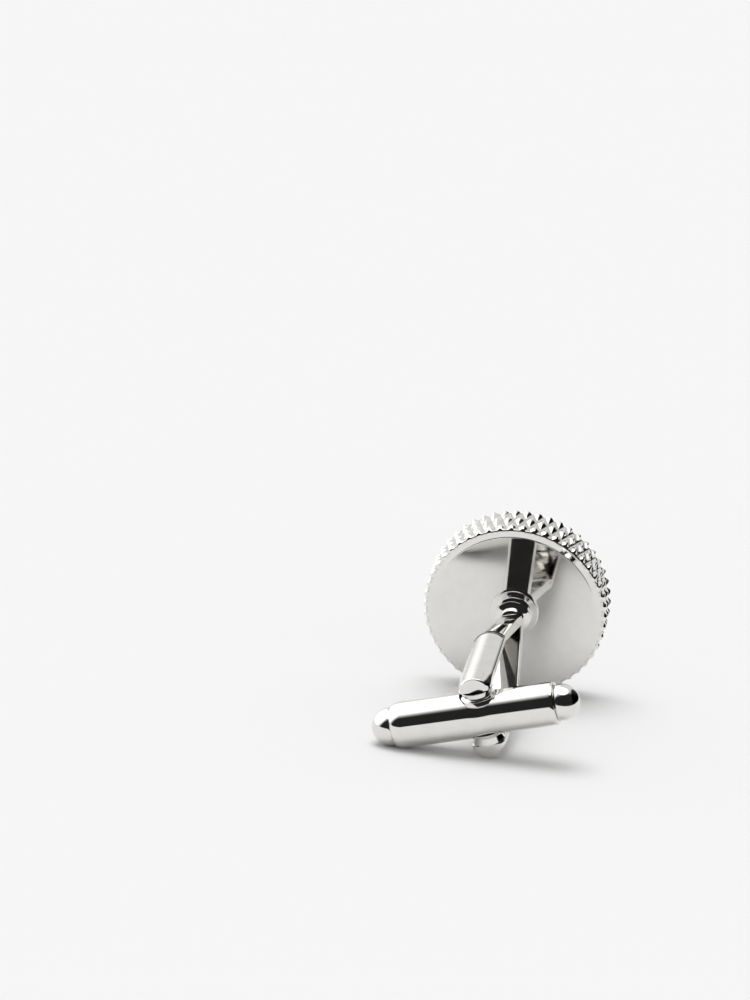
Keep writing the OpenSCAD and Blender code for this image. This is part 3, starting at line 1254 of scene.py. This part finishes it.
@dataclass(frozen=True)
class Hub:
    """One of the bar's two hubs: a stepped boss that turns on the pin against an arm.

    Attributes:
        name: The piece's name.
        node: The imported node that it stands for.
        way: 1 above the bar and -1 below it.
        step: Radius and height of the step at its base.
        taper: How much narrower the step is at its top.
        boss: Radius of the boss at the arm, and its top from the bar's axis.
        undercut: How much narrower the boss is at the step than at the arm.
        seat: The base, from the bar's axis.
        pin: Radius of the hole for the pin.
        eased: Rounding of the edges, and of the corner between the step and the boss.
    """

    name: str
    node: str
    way: float
    step: Pair = (0.00165, 0.00035)
    taper: float = 0.0001
    boss: Pair = (0.00145, 0.00249)
    undercut: float = 0.00028
    seat: float = 0.00145
    pin: float = 0.00065
    eased: float = 0.00003

    def build(self, finish: Finish) -> Piece:
        """Makes the hub.

        Args:
            finish: The plating.

        Returns:
            The hub.
        """
        e, (wide, rise), (r, high) = self.eased, self.step, self.boss
        top = self.seat + rise
        rings = [(wide, self.seat)] + arc(wide - self.taper - e, top - e, e, e, 20.0, 90.0, 5)
        rings += arc(r - self.undercut + e, top + e, -e, -e, 90.0, 0.0, 4)
        rings += arc(r - e, high - e, e, e, 0.0, 90.0, 5)
        hub = turn_up(self.name, rings, 128)
        cut(hub, turn_up("hole", [(self.pin, self.seat - OVER), (self.pin, high + OVER)], 64), Cut.TAKE)
        coat(hub, finish)
        place = Matrix.Translation((0.0, 0.0, POST)) @ quarter("X", -self.way)
        finish_piece(hub, place, 40.0, Body.BAR, Slot.POLISHED, self.node)
        return hub


@dataclass(frozen=True)
class EndCap:
    """One end of the bar: a ball cut off at its seam, with a broken edge there.

    Attributes:
        name: The piece's name.
        node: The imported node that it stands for.
        way: 1 on the short half and -1 on the long half.
        seam: From the pin to the seam.
        ball: Radius of the ball.
        length: From the seam to the tip.
        spigot: Radius and length of the spigot in the bore.
        eased: Radius of the broken edge.
    """

    name: str
    node: str
    way: float
    seam: float
    ball: float
    length: float = 0.002
    spigot: Pair = (0.0012, 0.0009)
    eased: float = 0.0001

    def build(self, finish: Finish) -> Piece:
        """Makes the cap.

        Args:
            finish: The plating.

        Returns:
            The cap.
        """
        e, middle, (core, deep) = self.eased, self.length - self.ball, self.spigot
        inner = math.sqrt(self.ball**2 - middle**2)
        first = math.degrees(math.asin((e - middle) / self.ball)) + 1.0
        rings = [(core, -deep), (core, 0.0)] + arc(inner - e, e, e, e, -90.0, 0.0, 4)
        rings += arc(0.0, middle, self.ball, self.ball, first, 89.0, 40)
        cap = turn_up(self.name, rings, 128, pole=True)
        coat(cap, finish)
        place = Matrix.Translation((self.way * self.seam, 0.0, POST)) @ quarter("Y", self.way)
        finish_piece(cap, place, 40.0, Body.BAR, Slot.POLISHED, self.node)
        return cap


def dress(name: str, finish: Finish) -> None:
    """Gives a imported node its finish.

    Args:
        name: The node's name.
        finish: The material for all of it.
    """
    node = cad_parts[name]
    if not node.material_slots:
        node.data.materials.append(None)
    for place in node.material_slots:
        place.link = "OBJECT"
        place.material = finish
    log.info("dressed %s", name)


def main() -> None:
    """Builds the studio and dresses every piece, in order."""
    logging.basicConfig(level=logging.INFO, format="%(message)s")
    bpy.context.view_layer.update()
    Studio().build()
    plate, brushed = PolishedPlate().material(), BrushedFront().material()
    knurl, steel = KnurlPlate().material(), DrawnSteel().material()
    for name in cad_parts:
        dress(name, steel if name.startswith("detent") else plate)
    KnurledHead().build(brushed, knurl, plate)
    Foot().build(plate)
    Fork().build(plate)
    bar = Barrel()
    bar.build(plate)
    Hub("hub_above", "upper_hub", 1.0).build(plate)
    Hub("hub_below", "lower_hub", -1.0).build(plate)
    EndCap("long_cap", "long_end_cap", -1.0, bar.long[0], 0.0017).build(plate)
    EndCap("short_cap", "short_end_cap", 1.0, bar.short[0], 0.00163).build(plate)


if __name__ == "__main__":
    main()
